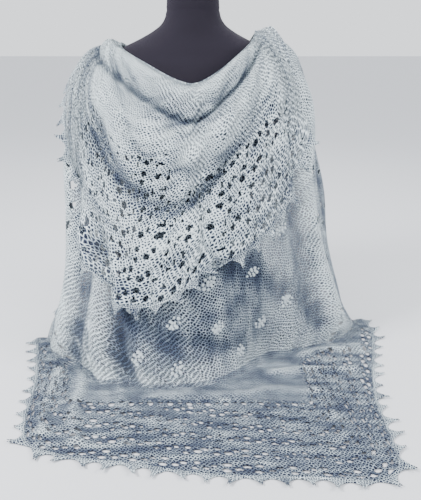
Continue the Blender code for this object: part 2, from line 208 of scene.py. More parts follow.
form_mesh, around, up = unit_grid("covered_form", FORM_SIDES, FORM_RINGS)
moved(form_mesh, form_surface(around * math.tau, up * FORM_SECTIONS[-1][0]))
joined = bmesh.new()
joined.from_mesh(form_mesh)
bmesh.ops.remove_doubles(joined, verts=joined.verts, dist=0.00001)
bmesh.ops.holes_fill(joined, edges=[edge for edge in joined.edges if edge.is_boundary], sides=0)
bmesh.ops.recalc_face_normals(joined, faces=joined.faces)
joined.to_mesh(form_mesh)
joined.free()


def add_node(tree, kind, **settings):
    node = tree.nodes.new(kind)
    for key, value in settings.items():
        setattr(node, key, value)
    return node


def feed(tree, socket, value):
    """Gives a socket a number, a colour or another node's output."""
    if isinstance(value, bpy.types.NodeSocket):
        tree.links.new(value, socket)
    else:
        socket.default_value = value


def calculate(tree, operation, *values, clamp=False):
    node = add_node(tree, "ShaderNodeMath", operation=operation, use_clamp=clamp)
    for socket, value in zip(node.inputs, values):
        feed(tree, socket, value)
    return node.outputs[0]


def cloudiness(tree, vector, scale, detail=3.0):
    node = add_node(tree, "ShaderNodeTexNoise")
    feed(tree, node.inputs["Vector"], vector)
    node.inputs["Scale"].default_value = scale
    node.inputs["Detail"].default_value = detail
    return node.outputs["Fac"]


def blended(tree, share, first, second, mode="MIX"):
    node = add_node(tree, "ShaderNodeMix", data_type="RGBA", blend_type=mode)
    feed(tree, node.inputs["Factor"], share)
    feed(tree, node.inputs["A"], first)
    feed(tree, node.inputs["B"], second)
    return node.outputs["Result"]


def raised(tree, height, distance, strength=1.0):
    node = add_node(tree, "ShaderNodeBump")
    node.inputs["Distance"].default_value = distance
    node.inputs["Strength"].default_value = strength
    feed(tree, node.inputs["Height"], height)
    return node.outputs["Normal"]


jersey = plain_material("black_jersey", JERSEY_COLOUR, 0.82)
tree = jersey.node_tree
shader = tree.nodes["Principled BSDF"]
shader.inputs["Sheen Weight"].default_value = 0.05
shader.inputs["Sheen Roughness"].default_value = 0.5
shader.inputs["Sheen Tint"].default_value = (0.55, 0.45, 0.70, 1.0)
shader.inputs["Specular IOR Level"].default_value = 0.25
where = add_node(tree, "ShaderNodeTexCoord").outputs["Object"]
apart = add_node(tree, "ShaderNodeSeparateXYZ")
feed(tree, apart.inputs[0], where)
turned = calculate(tree, "ARCTAN2", apart.outputs["X"], apart.outputs["Y"])
rib = calculate(tree, "SINE", calculate(tree, "MULTIPLY", turned, 340.0))
loops = calculate(tree, "SINE", calculate(tree, "MULTIPLY", apart.outputs["Z"], math.tau / JERSEY_RIB))
knitted = calculate(tree, "MULTIPLY", rib, loops)
lint = cloudiness(tree, where, 900.0)
tone = calculate(tree, "MULTIPLY_ADD", knitted, 0.22, lint, clamp=True)
feed(tree, shader.inputs["Base Color"], blended(tree, tone, JERSEY_COLOUR, JERSEY_LIGHTER))
feed(tree, shader.inputs["Normal"], raised(tree, knitted, 0.0003, 0.6))

covered_form = shown("covered_form", form_mesh, jersey)
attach(covered_form, "root")
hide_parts("dress_form")

# The under layer: one sheet of fine mohair knitting, from the neckline fold down round the form's front and
# sides, and on over the table to the lace border. It is an open net of stitches, with painted shade in the
# troughs of its folds and under the flap and painted light on their crests, with eyelets down both sides
# and a darker band before the border.
SPOKES = (-135, -90, -45, 0, 45, 90, 135)
DRAPE_SECTIONS = (
    # radius on each spoke, height at the left, front, right and back, side edges' angles
    (0.120, 0.150, 0.122, 0.122, 0.115, 0.128, 0.115, 0.644, 0.572, 0.668, 0.585, 142, 140),
    (0.138, 0.186, 0.145, 0.136, 0.138, 0.165, 0.135, 0.632, 0.545, 0.657, 0.560, 138, 136),
    (0.150, 0.222, 0.170, 0.148, 0.160, 0.205, 0.150, 0.602, 0.500, 0.630, 0.530, 132, 130),
    (0.165, 0.246, 0.193, 0.158, 0.180, 0.234, 0.165, 0.552, 0.452, 0.585, 0.490, 120, 118),
    (0.180, 0.268, 0.210, 0.163, 0.193, 0.254, 0.180, 0.490, 0.400, 0.520, 0.450, 107, 110),
    (0.190, 0.280, 0.222, 0.170, 0.202, 0.270, 0.190, 0.400, 0.340, 0.420, 0.400, 97, 105),
    (0.200, 0.284, 0.235, 0.188, 0.208, 0.287, 0.200, 0.300, 0.270, 0.310, 0.300, 95, 97),
    (0.210, 0.290, 0.252, 0.212, 0.212, 0.314, 0.210, 0.200, 0.190, 0.200, 0.200, 104, 106),
    (0.225, 0.305, 0.280, 0.240, 0.212, 0.342, 0.225, 0.110, 0.110, 0.110, 0.110, 102, 107),
    (0.240, 0.330, 0.304, 0.266, 0.214, 0.364, 0.245, 0.040, 0.040, 0.040, 0.040, 92, 102),
    (0.250, 0.348, 0.316, 0.284, 0.218, 0.380, 0.260, 0.003, 0.003, 0.003, 0.003, 78, 94),
)
LAST_SECTION = len(DRAPE_SECTIONS) - 1
FOLD_ROUNDING = 9
DRAPE_PLEATS = (
    # top section, bottom section, top angle, bottom angle, width in degrees, depth
    (4.0, 9.0, -86, -80, 5, -0.012),
    (4.6, 9.6, -74, -66, 5, 0.014),
    (5.2, 9.6, -63, -54, 4, -0.016),
    (6.2, 9.8, -52, -36, 4.5, 0.019),
    (6.6, 9.6, -42, -26, 4, -0.013),
    (1.2, 4.4, 90, 73, 8, 0.014),
    (4.2, 9.0, 66, 78, 4, 0.016),
    (3.6, 8.6, 57, 69, 4, -0.013),
    (1.6, 8.8, 84, 90, 5, -0.010),
    (5.0, 9.2, -58, -46, 2.4, -0.003),
    (7.0, 9.6, -20, -10, 3.0, -0.003),
    (7.4, 9.8, 14, 24, 3.0, 0.003),
    (5.2, 8.4, 76, 82, 2.4, -0.003),
)
DRAPE_SWAGS = (
    # start angle and section, low angle and section, end angle and section, width in sections, depth
    (4, 6.0, 30, 6.9, 62, 7.9, 0.35, -0.010),
    (-34, 7.7, -8, 8.4, 22, 8.9, 0.25, -0.007),
)
FLARES = {-1: (5.3, 1.1, 0.016), 1: (5.9, 0.8, 0.016)}
FOOT_OVERLAP = 0.006
TABLE_STATIONS = (
    # x, y, angle of the under layer's foot, width of the lace border
    (-0.360, -0.078, -77, 0.012),
    (-0.347, -0.130, -72, 0.030),
    (-0.327, -0.210, -65, 0.060),
    (-0.310, -0.310, -57, 0.110),
    (-0.302, -0.400, -49, 0.160),
    (-0.276, -0.474, -42, 0.150),
    (-0.208, -0.506, -32, 0.170),
    (-0.100, -0.526, -18, 0.190),
    (0.000, -0.545, -4, 0.210),
    (0.100, -0.557, 9, 0.225),
    (0.200, -0.560, 21, 0.237),
    (0.290, -0.568, 31, 0.254),
    (0.340, -0.540, 38, 0.240),
    (0.349, -0.457, 45, 0.230),
    (0.352, -0.350, 53, 0.205),
    (0.368, -0.250, 62, 0.145),
    (0.392, -0.150, 73, 0.070),
    (0.414, -0.050, 85, 0.030),
    (0.406, 0.024, 92, 0.014),
)
LAST_STATION = len(TABLE_STATIONS) - 1
TABLE_RIDGES = (
    # start, end, width, height
    ((-0.285, -0.21), (-0.265, -0.46), 0.010, 0.007),
    ((-0.235, -0.23), (-0.200, -0.48), 0.012, 0.008),
    ((-0.150, -0.28), (-0.105, -0.50), 0.010, 0.004),
    ((0.160, -0.24), (0.350, -0.215), 0.012, 0.009),
    ((0.230, -0.16), (0.385, -0.120), 0.012, 0.007),
    ((-0.090, -0.335), (0.270, -0.300), 0.014, 0.005),
    ((0.240, -0.30), (0.300, -0.54), 0.012, 0.003),
)
RIDGE_WANDER = 0.006
KNIT_THICKNESS = 0.0012
LYING_HEIGHT = 0.0010
LAYER_COLUMNS = 250
LAYER_ROWS = 172
FOOT_AT = 0.80
FOOT_SMOOTHING = 26
ROWS_SMOOTHED_ABOVE = 16
ROWS_SMOOTHED_BELOW = 12
FOOT_KEPT = 0.4
WRINKLES = (
    # waves round the form and down it, phase, height
    (9.0, 1.7, 0.4, 0.0011),
    (15.0, -2.3, 2.1, 0.0008),
    (23.0, 3.1, 4.0, 0.0005),
)
GARTER_BAND = 0.035
YARN_COLOUR = (0.145, 0.195, 0.265, 1.0)
YARN_PALE = (0.78, 0.88, 0.90, 1.0)
YARN_SHADED = (0.013, 0.016, 0.038, 1.0)
STITCH_WIDTH = 0.0060
STITCH_HEIGHT = 0.0050
STITCH_TURN = 38
STITCH_UNEVENNESS = 0.62
STITCH_WANDER = 0.007
OPENNESS = 0.66
GAP_CLEARNESS = 0.52
HANGING_STREAKS = (48.0, 10.0)
LEVEL_STREAKS = (9.0, 60.0)
SIDE_LINES = (0.030, 0.062, 0.095, 0.132)
SIDE_PITCH = 0.044
SIDE_SCATTER = 0.006
SIDE_PAIR_STEP = (0.010, 0.014)
SIDE_RADIUS = 0.0062
LARGE_SIDE_RADIUS = 0.0076
LAYER_SPAN = 1.0
LAYER_FALL = 0.92
FIRST_SIDE_EYELET = 0.10
FULL_FOLD = 0.010
FULL_RIDGE = 0.008
FOLD_SHADE = 0.30
TABLE_SHADE = 0.34
UNDER_FLAP_SHADE = 0.22
OVER_FORM_SHADE = 0.16
BAND_SHADE = 0.08
TABLE_TIGHTNESS = 0.30
RIM_TIGHTNESS = 0.5
BAND_TIGHTNESS = 0.15
UNDER_FLAP_LOOSENESS = 0.35
OVER_FORM_LOOSENESS = 0.25
UNDER_FLAP_TO_ROW = 5.5
UNDER_FLAP_TO_ANGLE = 75
OVER_FORM_ROWS = (4.5, 9.6)
OVER_FORM_TO_ANGLE = 52


def ease(share):
    share = np.clip(share, 0.0, 1.0)
    return share * share * (3 - 2 * share)


def bell(at, middle, width):
    return np.exp(-(((at - middle) / width) ** 2))


def pleats_at(pleats, angle, row):
    total = np.zeros_like(angle)
    for top_row, bottom_row, top_angle, bottom_angle, width, depth in pleats:
        share = (row - top_row) / (bottom_row - top_row)
        middle = top_angle + (bottom_angle - top_angle) * share
        lasting = ease((row - top_row + 0.8) / 0.8) * ease((bottom_row + 0.8 - row) / 0.8)
        total += depth * lasting * bell(angle, middle, width)
    return total


def swags_at(swags, angle, row):
    total = np.zeros_like(angle)
    for start_angle, start_row, low_angle, low_row, end_angle, end_row, width, depth in swags:
        before = angle < low_angle
        share_before = (low_angle - angle) / (low_angle - start_angle)
        share_after = (angle - low_angle) / (end_angle - low_angle)
        share = np.where(before, share_before, share_after)
        middle = low_row + (np.where(before, start_row, end_row) - low_row) * np.abs(share) ** 1.5
        total += depth * ease((1.25 - share) / 0.5) * bell(row, middle, width)
    return total


def section(k, row):
    return smooth(range(len(DRAPE_SECTIONS)), [line[k] for line in DRAPE_SECTIONS], row)


def drape_height(angle, row):
    left, front, right, back = (section(k, row) for k in (7, 8, 9, 10))
    side = np.where(angle < 0, left, right)
    turn = np.abs(angle)
    rise = (np.hypot(turn, FOLD_ROUNDING) - FOLD_ROUNDING) / (math.hypot(90, FOLD_ROUNDING) - FOLD_ROUNDING)
    behind = side + (back - side) * ease((turn - 90) / 60)
    return np.where(turn <= 90, front + (side - front) * rise, behind)


def drape(angle, row):
    """Points of the under layer, by the angle from the front in degrees and the section's number."""
    radii = np.stack([section(k, row) for k in range(len(SPOKES))])
    radius = smooth(SPOKES, radii, angle)
    radius += pleats_at(DRAPE_PLEATS, angle, row) + swags_at(DRAPE_SWAGS, angle, row)
    for side, (middle, tall, amount) in FLARES.items():
        outward = ease((side * angle - 78) / 18)
        radius += amount * outward * bell(row, middle, tall)
    for waves, down, phase, height in WRINKLES:
        fading = ease((row - 0.6) / 1.2)
        radius += fading * height * np.sin(np.radians(angle) * waves + row * down + phase)
    turned = np.radians(angle)
    return np.stack([radius * np.sin(turned), -radius * np.cos(turned), drape_height(angle, row)], axis=1)


def outwards(angle, row):
    across = drape(angle + 1, row) - drape(angle - 1, row)
    down = drape(angle, np.minimum(row + 0.05, LAST_SECTION)) - drape(angle, np.maximum(row - 0.05, 0))
    normal = np.cross(down, across)
    return normal / np.linalg.norm(normal, axis=1)[:, None]


def station(k, at):
    return smooth(range(len(TABLE_STATIONS)), [line[k] for line in TABLE_STATIONS], at)


def foot(angle, inward):
    place = drape(angle, np.full_like(angle, LAST_SECTION))[:, :2]
    return place * (1 - inward / np.linalg.norm(place, axis=1))[:, None]


def on_table(at, share, inward=FOOT_OVERLAP):
    """Places on the table, from the cloth's edge (share 0) to the foot of the under layer (share 1)."""
    edge = np.stack([station(0, at), station(1, at)], axis=1)
    return edge + (foot(station(2, at), inward) - edge) * share[:, None]


def border_share(at):
    span = np.linalg.norm(on_table(at, np.ones_like(at)) - on_table(at, np.zeros_like(at)), axis=1)
    return np.minimum(station(3, at) / span, 0.8)


def table_lift(x, y):
    """How far the cloth on the table stands off it: a few soft ridges."""
    total = np.zeros_like(x)
    for start, end, width, height in TABLE_RIDGES:
        along = np.array(end) - np.array(start)
        length = np.linalg.norm(along)
        along = along / length
        s = (x - start[0]) * along[0] + (y - start[1]) * along[1]
        off = (x - start[0]) * along[1] - (y - start[1]) * along[0]
        lasting = ease((s + width) / (2 * width)) * ease((length + width - s) / (2 * width))
        total += height * lasting * bell(off + RIDGE_WANDER * np.sin(s * 31.0), 0, width)
    total += 0.0010 * (1 + np.sin(31.0 * x + 14.0 * y) * np.sin(23.0 * y - 9.0 * x + 1.0))
    return total


def opened(u, v, length, width_of, eyelets):
    """Draws the grid's corners on to each eyelet's rim, and says how near to an eyelet each corner lies."""
    s = u * length
    t = v * width_of(u)
    inside = np.zeros(len(s), int)
    nearness = np.zeros(len(s))
    for number, (middle_s, middle_t, radius, across) in enumerate(eyelets, 1):
        off_s = s - middle_s
        off_t = t - middle_t
        local = np.hypot(off_s / across, off_t * across)
        near = local < radius * 3
        rim = near & (local > radius * 0.62) & (local < radius * 1.25) & (inside == 0)
        deep = near & (local <= radius * 0.62)
        pull = radius / np.maximum(local[rim], 1e-9)
        s[rim] = middle_s + off_s[rim] * pull
        t[rim] = middle_t + off_t[rim] * pull
        inside[deep | rim] = number
        nearness[near] = np.maximum(nearness[near], np.clip(1 - (local[near] - radius) / 0.0035, 0, 1))
    new_u = np.clip(s / length, 0, 1)
    return new_u, np.clip(t / np.maximum(width_of(new_u), 1e-6), 0, 1), inside, nearness


def finish_knitting(name, mesh, chart, solid, inside, finish, shade=0.0):
    """Opens the eyelets, lays the stitches' chart on the cloth in metres, and thickens the cloth."""
    faces = np.empty(len(mesh.loops), int)
    mesh.loops.foreach_get("vertex_index", faces)
    layer = mesh.uv_layers.new(name="stitches")
    layer.data.foreach_set("uv", np.ascontiguousarray(chart(faces), float).ravel())
    tight = mesh.attributes.new("tight", "FLOAT", "POINT")
    tight.data.foreach_set("value", np.ascontiguousarray(solid, np.float32))
    shaded = mesh.attributes.new("shade", "FLOAT", "POINT")
    shades = np.broadcast_to(shade, len(mesh.vertices))
    shaded.data.foreach_set("value", np.ascontiguousarray(shades, np.float32))
    corners = inside[faces.reshape(-1, 4)]
    hole = (corners[:, 0] > 0) & (corners == corners[:, :1]).all(axis=1)
    cut = bmesh.new()
    cut.from_mesh(mesh)
    cut.faces.ensure_lookup_table()
    gone = [cut.faces[k] for k in np.flatnonzero(hole)]
    bmesh.ops.delete(cut, geom=gone, context="FACES")
    cut.to_mesh(mesh)
    cut.free()
    piece = shown(name, mesh, finish)
    wall = piece.modifiers.new("wall", "SOLIDIFY")
    wall.thickness = KNIT_THICKNESS
    wall.offset = 0
    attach(piece, "root")
    return piece


def knit_material(
    name, stitch_width, stitch_height, turn, openness, paleness, drag=LEVEL_STREAKS, fold_shading=1.3
):
    """An uneven net of fuzzy strands, drawn into streaks, with shade and light painted along the streaks'
    soft folds. Its gaps are painted dark, as shade, and about half see-through.
    """
    made = plain_material(name, YARN_COLOUR, 0.92)
    tree = made.node_tree
    shader = tree.nodes["Principled BSDF"]
    shader.inputs["Sheen Weight"].default_value = 0.10
    shader.inputs["Sheen Roughness"].default_value = 0.45
    shader.inputs["Sheen Tint"].default_value = (0.80, 0.90, 1.0, 1.0)
    shader.inputs["Specular IOR Level"].default_value = 0.15
    chart = add_node(tree, "ShaderNodeUVMap", uv_map="stitches").outputs[0]
    wander = add_node(tree, "ShaderNodeTexNoise")
    feed(tree, wander.inputs["Vector"], chart)
    wander.inputs["Scale"].default_value = 60.0
    wander.inputs["Detail"].default_value = 2.0
    loose = add_node(tree, "ShaderNodeVectorMath", operation="MULTIPLY_ADD")
    feed(tree, loose.inputs[0], wander.outputs["Color"])
    loose.inputs[1].default_value = (STITCH_WANDER, STITCH_WANDER, 0.0)
    feed(tree, loose.inputs[2], chart)
    turned = add_node(tree, "ShaderNodeMapping")
    feed(tree, turned.inputs["Vector"], loose.outputs[0])
    turned.inputs["Rotation"].default_value = (0, 0, math.radians(turn))
    counted = add_node(tree, "ShaderNodeMapping")
    feed(tree, counted.inputs["Vector"], turned.outputs[0])
    counted.inputs["Scale"].default_value = (1 / stitch_width, 1 / stitch_height, 1.0)
    net = add_node(tree, "ShaderNodeTexVoronoi", feature="DISTANCE_TO_EDGE", voronoi_dimensions="2D")
    feed(tree, net.inputs["Vector"], counted.outputs[0])
    net.inputs["Scale"].default_value = 1.0
    net.inputs["Randomness"].default_value = STITCH_UNEVENNESS
    gap = calculate(tree, "MULTIPLY_ADD", net.outputs["Distance"], 4.6, -1.0)
    patches = cloudiness(tree, chart, 26.0, 2.0)
    drawn = add_node(tree, "ShaderNodeMapping")
    feed(tree, drawn.inputs["Vector"], loose.outputs[0])
    drawn.inputs["Scale"].default_value = (*drag, 1.0)
    streaks = cloudiness(tree, drawn.outputs[0], 1.0, 3.0)
    least = calculate(tree, "MULTIPLY_ADD", patches, -1.5, 1.15 - openness)
    tight = add_node(tree, "ShaderNodeAttribute", attribute_name="tight").outputs["Fac"]
    shade = add_node(tree, "ShaderNodeAttribute", attribute_name="shade").outputs["Fac"]
    least = calculate(tree, "MULTIPLY_ADD", tight, 1.2, least)
    least = calculate(tree, "MAXIMUM", least, -0.10)
    open_share = calculate(tree, "MULTIPLY", calculate(tree, "SUBTRACT", gap, least), 3.0, clamp=True)
    covering = calculate(tree, "MULTIPLY_ADD", open_share, -GAP_CLEARNESS, 1.0, clamp=True)
    feed(tree, shader.inputs["Alpha"], covering)
    fibres = cloudiness(tree, turned.outputs[0], 1500.0, 2.0)
    # Painted shade: the colour darkens towards the middle of each gap between the strands.
    strands = calculate(tree, "MULTIPLY_ADD", gap, -0.75, 0.30)
    tone = calculate(tree, "MULTIPLY_ADD", fibres, 0.5, calculate(tree, "SUBTRACT", strands, 0.25))
    tone = calculate(tree, "MULTIPLY_ADD", calculate(tree, "SUBTRACT", patches, 0.5), 0.65, tone)
    # Painted shade and light: the streaks that raise the soft folds in the bump also darken and lighten the
    # colour.
    tone = calculate(tree, "MULTIPLY_ADD", calculate(tree, "SUBTRACT", streaks, 0.5), fold_shading, tone)
    tone = calculate(tree, "MULTIPLY_ADD", tight, 0.20, tone)
    # The piece's shade attribute adds its painted shade and light, and its darker tones.
    tone = calculate(tree, "ADD", tone, shade)
    tone = calculate(tree, "ADD", tone, paleness, clamp=True)
    body = blended(tree, tone, YARN_SHADED, YARN_COLOUR)
    bright = calculate(tree, "MULTIPLY_ADD", tone, 1.9, -1.05, clamp=True)
    feed(tree, shader.inputs["Base Color"], blended(tree, bright, body, YARN_PALE))
    folds = raised(tree, streaks, 0.012, 0.8)
    relief = calculate(tree, "MULTIPLY_ADD", fibres, 0.4, calculate(tree, "MULTIPLY", gap, -0.6))
    stitches = add_node(tree, "ShaderNodeBump")
    stitches.inputs["Distance"].default_value = 0.0016
    stitches.inputs["Strength"].default_value = 0.8
    feed(tree, stitches.inputs["Height"], relief)
    feed(tree, stitches.inputs["Normal"], folds)
    feed(tree, shader.inputs["Normal"], stitches.outputs["Normal"])
    return made


def angle_at(share, row):
    left = section(11, row)
    right = section(12, row)
    return -left + (left + right) * share


def side_eyelets(random):
    """Eyelets where the lace border runs up each side: staggered pairs and an inner row of larger ones."""
    eyelets = []
    for side in (-1, 1):
        for line, inward in enumerate(SIDE_LINES):
            last = line == len(SIDE_LINES) - 1
            pitch = SIDE_PITCH * (0.8 if last else 1.0)
            for k in range(int(LAYER_FALL / pitch)):
                down = (k + 0.3 + 0.5 * (line % 2)) * pitch + SIDE_SCATTER * (random.random() - 0.5)
                if not FIRST_SIDE_EYELET < down < LAYER_FALL * 0.97:
                    continue
                off = inward + SIDE_SCATTER * (random.random() - 0.5)
                s = off if side < 0 else LAYER_SPAN - off
                size = LARGE_SIDE_RADIUS if last else SIDE_RADIUS
                eyelets.append((s, down, size * (0.85 + 0.3 * random.random()), 1.0))
                if not last:
                    eyelets.append((s + SIDE_PAIR_STEP[0], down + SIDE_PAIR_STEP[1], size, 1.0))
    return eyelets


layer_mesh, layer_u, layer_v = unit_grid("under_layer", LAYER_COLUMNS, LAYER_ROWS)
layer_eyelets = side_eyelets(np.random.default_rng(3))
layer_u, layer_v, layer_inside, layer_near = opened(
    layer_u, layer_v, LAYER_SPAN, lambda u: np.full_like(u, LAYER_FALL), layer_eyelets
)
layer_row = np.minimum(layer_v / FOOT_AT, 1.0) * LAST_SECTION
layer_angle = angle_at(layer_u, layer_row)
upright = drape(layer_angle, layer_row)
foot_samples = np.linspace(0, LAST_STATION, 400)
foot_angles = station(2, foot_samples)
last_angles = angle_at(layer_u, np.full_like(layer_u, LAST_SECTION))
table_at = np.interp(last_angles, foot_angles, foot_samples)
past_foot = np.clip((layer_v - FOOT_AT) / (1 - FOOT_AT), 0, 1)
table_share = 1 + (border_share(table_at) * 0.97 - 1) * past_foot
flat_places = on_table(table_at, table_share, 0.0)
lying = layer_v > FOOT_AT
lying_lift = table_lift(flat_places[:, 0], flat_places[:, 1]) * ease((layer_v - FOOT_AT) / 0.05)
lying_points = np.column_stack([flat_places, LYING_HEIGHT + lying_lift])
layer_points = np.where(lying[:, None], lying_points, upright)
grid_points = layer_points.reshape(LAYER_ROWS + 1, LAYER_COLUMNS + 1, 3)
foot_line = int(FOOT_AT * LAYER_ROWS)
for turn in range(FOOT_SMOOTHING):
    low, high = foot_line - ROWS_SMOOTHED_ABOVE, foot_line + ROWS_SMOOTHED_BELOW
    middle = grid_points[low:high]
    beside = (grid_points[low - 1 : high - 1] + grid_points[low + 1 : high + 1]) / 2
    grid_points[low:high] = middle * FOOT_KEPT + beside * (1 - FOOT_KEPT)
layer_points = grid_points.reshape(-1, 3)
layer_points[:, 2] = np.maximum(layer_points[:, 2], LYING_HEIGHT)
moved(layer_mesh, layer_points)
steps = np.linalg.norm(np.diff(grid_points, axis=1), axis=2).mean(axis=0)
drops = np.linalg.norm(np.diff(grid_points, axis=0), axis=2)
down_cloth = np.vstack([np.zeros(LAYER_COLUMNS + 1), np.cumsum(drops, axis=0)]).ravel()
across_cloth = np.tile(np.concatenate([[0], np.cumsum(steps)]), LAYER_ROWS + 1)


def layer_chart(corners):
    hanging = np.stack([across_cloth[corners], -down_cloth[corners]], axis=1)
    flat = np.stack([layer_points[corners][:, 1], -layer_points[corners][:, 0]], axis=1)
    level = layer_v[corners].reshape(-1, 4).mean(axis=1) > FOOT_AT + 0.03
    return np.where(np.repeat(level, 4)[:, None], flat, hanging)


left_to_border = np.clip((1 - layer_v) / (1 - FOOT_AT), 0, 1)
feet = on_table(table_at, np.ones_like(table_at))
span_to_border = np.linalg.norm(feet - on_table(table_at, border_share(table_at)), axis=1)
garter = ease(1.6 - left_to_border * span_to_border / GARTER_BAND) * (layer_v > FOOT_AT)
garter *= bell(table_at, 9.0, 3.2)
under_flap = ease((UNDER_FLAP_TO_ROW - layer_row) / 1.5)
under_flap *= ease((UNDER_FLAP_TO_ANGLE - np.abs(layer_angle)) / 20)
over_form = ease((OVER_FORM_TO_ANGLE - np.abs(layer_angle)) / 14)
over_form *= ease((layer_row - OVER_FORM_ROWS[0]) / 1.5)
over_form *= ease((OVER_FORM_ROWS[1] - layer_row) / 0.8)
layer_tight = layer_near * RIM_TIGHTNESS + garter * BAND_TIGHTNESS + lying * TABLE_TIGHTNESS
layer_tight = layer_tight - under_flap * UNDER_FLAP_LOOSENESS - over_form * OVER_FORM_LOOSENESS
layer_relief = pleats_at(DRAPE_PLEATS, layer_angle, layer_row)
layer_relief += swags_at(DRAPE_SWAGS, layer_angle, layer_row)
layer_lift = table_lift(layer_points[:, 0], layer_points[:, 1])
# Painted shade and light in the shade attribute: darker in the troughs of the folds and under the flap, paler
# on the folds' crests and on the ridges on the table. The part on the table, the band and the part over the
# form are also darker in tone.
hanging_shade = np.clip(layer_relief / FULL_FOLD, -1, 1) * FOLD_SHADE
layer_shade = np.where(lying, layer_lift / FULL_RIDGE * FOLD_SHADE - TABLE_SHADE, hanging_shade)
layer_shade = layer_shade - under_flap * UNDER_FLAP_SHADE - over_form * OVER_FORM_SHADE - garter * BAND_SHADE
mesh_knit = knit_material(
    "mohair_mesh", STITCH_WIDTH, STITCH_HEIGHT, STITCH_TURN, OPENNESS, 0.04, HANGING_STREAKS, 0.60
)
under_layer = finish_knitting(
    "under_layer", layer_mesh, layer_chart, layer_tight, layer_inside, mesh_knit, layer_shade
)
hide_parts("front_drop", "left_side", "right_side", "table_middle")

# The lace border round the end on the table: knitted outwards from the middle, with pairs of large eyelets
# in slanting rows, and a row of the largest eyelets where it begins.
BORDER_COLUMNS = 470
BORDER_GRID_ROWS = 62
EYELET_RADIUS = 0.0060
LARGE_EYELET_RADIUS = 0.0078
LATTICE_ACROSS = 0.0270
LATTICE_DOWN = 0.0400
PAIR_GAP = 0.0080
PAIR_SLANT = (0.2, 1.1)
BORDER_MARGIN = 0.012
DEEPEST_EYELETS = 0.30
FIRST_EYELETS = 0.016
EYELET_OVAL = 1.28
LARGE_PITCH = 0.024
LARGE_FROM_WIDTH = 0.10
LARGE_CLEARANCE = 0.016
BORDER_LIFT = 0.0003
RIM_SHADE = 0.30


def edge_chart(place, last, samples=1200):
    """Lengths along a curve and the parameters that they belong to."""
    at = np.linspace(0, last, samples)
    points = place(at)
    lengths = np.concatenate([[0], np.cumsum(np.linalg.norm(np.diff(points, axis=0), axis=1))])
    return lengths, at


def pairs_of_eyelets(length, width_of, across, down, first, radius, random, keep=1.0, oval=1.08):
    """Pairs of eyelets in staggered rows, each pair upright or slanting by turns."""
    eyelets = []
    line = 0
    t = first
    while t < DEEPEST_EYELETS:
        count = int(length / across)
        for k in range(count):
            s = (k + 0.5 * (line % 2) + 0.25) * across
            if not BORDER_MARGIN < s < length - BORDER_MARGIN:
                continue
            room = float(width_of(np.array([s / length]))[0])
            if t > room - BORDER_MARGIN or random.random() > keep:
                continue
            slant = PAIR_SLANT[(k + line) % 2]
            reach = PAIR_GAP * (0.9 + 0.2 * random.random())
            middle_s = s + 0.003 * (random.random() - 0.5)
            middle_t = t + 0.004 * (random.random() - 0.5)
            size = radius * (0.85 + 0.3 * random.random())
            for side in (-1, 1):
                eyelets.append(
                    (
                        middle_s + side * reach * math.sin(slant),
                        middle_t + side * reach * math.cos(slant),
                        size,
                        oval,
                    )
                )
        line += 1
        t += down
    return eyelets


border_lengths, border_params = edge_chart(
    lambda at: np.stack([station(0, at), station(1, at)], axis=1), LAST_STATION
)
border_length = border_lengths[-1]


def border_at(u):
    return np.interp(u * border_length, border_lengths, border_params)


def border_width(u):
    at = border_at(u)
    span = np.linalg.norm(on_table(at, np.ones_like(at)) - on_table(at, np.zeros_like(at)), axis=1)
    return border_share(at) * span


border_mesh, border_u, border_v = unit_grid("lace_border", BORDER_COLUMNS, BORDER_GRID_ROWS)
random = np.random.default_rng(11)
border_eyelets = pairs_of_eyelets(
    border_length,
    border_width,
    LATTICE_ACROSS,
    LATTICE_DOWN,
    FIRST_EYELETS,
    EYELET_RADIUS,
    random,
    oval=EYELET_OVAL,
)
for k in range(int(border_length / LARGE_PITCH)):
    s = (k + 0.5) * LARGE_PITCH
    room = float(border_width(np.array([s / border_length]))[0])
    if room > LARGE_FROM_WIDTH:
        clash = [e for e in border_eyelets if math.hypot(e[0] - s, e[1] - room + 0.010) < LARGE_CLEARANCE]
        for eyelet in clash:
            border_eyelets.remove(eyelet)
        border_eyelets.append((s, room - 0.009 - 0.006 * (k % 2), LARGE_EYELET_RADIUS, 1.0))
border_u, border_v, border_inside, border_near = opened(
    border_u, border_v, border_length, border_width, border_eyelets
)
border_param = border_at(border_u)
border_flat = on_table(border_param, border_share(border_param) * border_v)
border_points = np.column_stack(
    [border_flat, LYING_HEIGHT + BORDER_LIFT + table_lift(border_flat[:, 0], border_flat[:, 1])]
)
moved(border_mesh, border_points)
border_knit = knit_material("border_lace", STITCH_WIDTH, STITCH_HEIGHT, STITCH_TURN, OPENNESS, 0.02)
# Painted shade and light: the border is paler on the table's ridges and darker round its eyelets' rims, and
# darker in tone all over.
border_shade = table_lift(border_flat[:, 0], border_flat[:, 1]) / FULL_RIDGE * FOLD_SHADE
border_shade = border_shade - TABLE_SHADE - border_near * RIM_SHADE
lace_border = finish_knitting(
    "lace_border",
    border_mesh,
    lambda corners: border_points[corners][:, :2],
    border_near * 0.7 + TABLE_TIGHTNESS,
    border_inside,
    border_knit,
    border_shade,
)
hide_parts("table_border")

